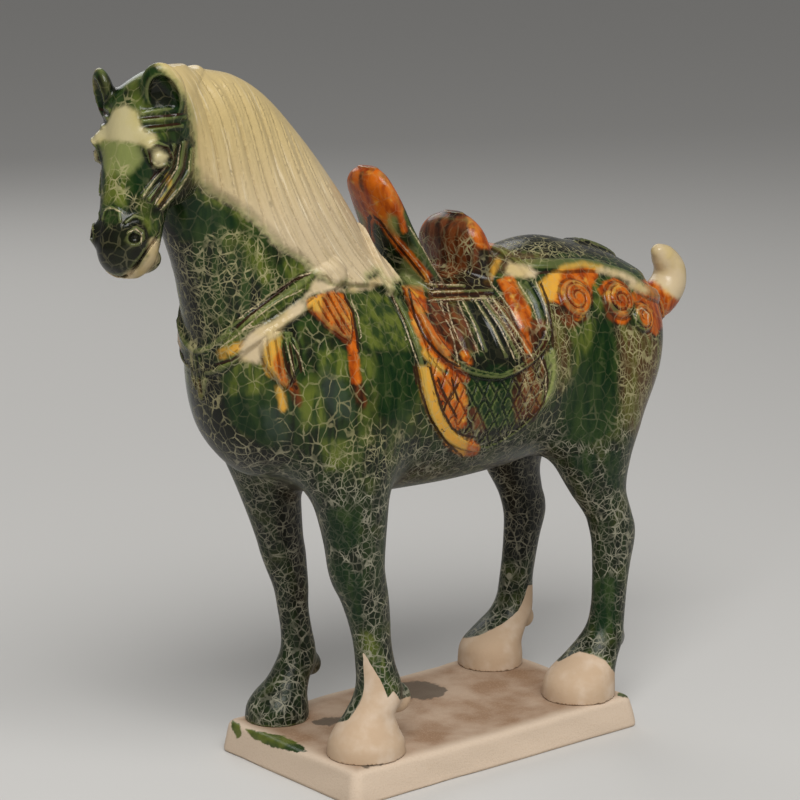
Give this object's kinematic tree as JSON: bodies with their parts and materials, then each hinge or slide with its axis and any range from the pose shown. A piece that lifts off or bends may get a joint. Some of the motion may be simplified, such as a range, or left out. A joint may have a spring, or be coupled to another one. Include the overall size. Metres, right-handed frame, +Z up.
{
  "type": "chinese tomb horse",
  "caption": "Glazed pottery figure of a saddled, standing horse on a low oblong slab, in the manner of old Chinese tomb pottery.",
  "frame": {"origin": "centre of the slab's underside", "axes": "+Z up; -X towards the horse's head and +X towards its tail; -Y towards the horse's left side, to which its head turns"},
  "size_m": [0.4013, 0.116, 0.3726],
  "materials": {
    "glazed_pottery": "glossy crackled lead glaze, green with cream, amber and brown, over pale clay",
    "bare_clay": "matt unglazed fired clay with brown stains and a few glaze drips"
  },
  "bodies": {
    "root": {"horse": "glazed_pottery", "plinth": "bare_clay"}
  },
  "joints": []
}
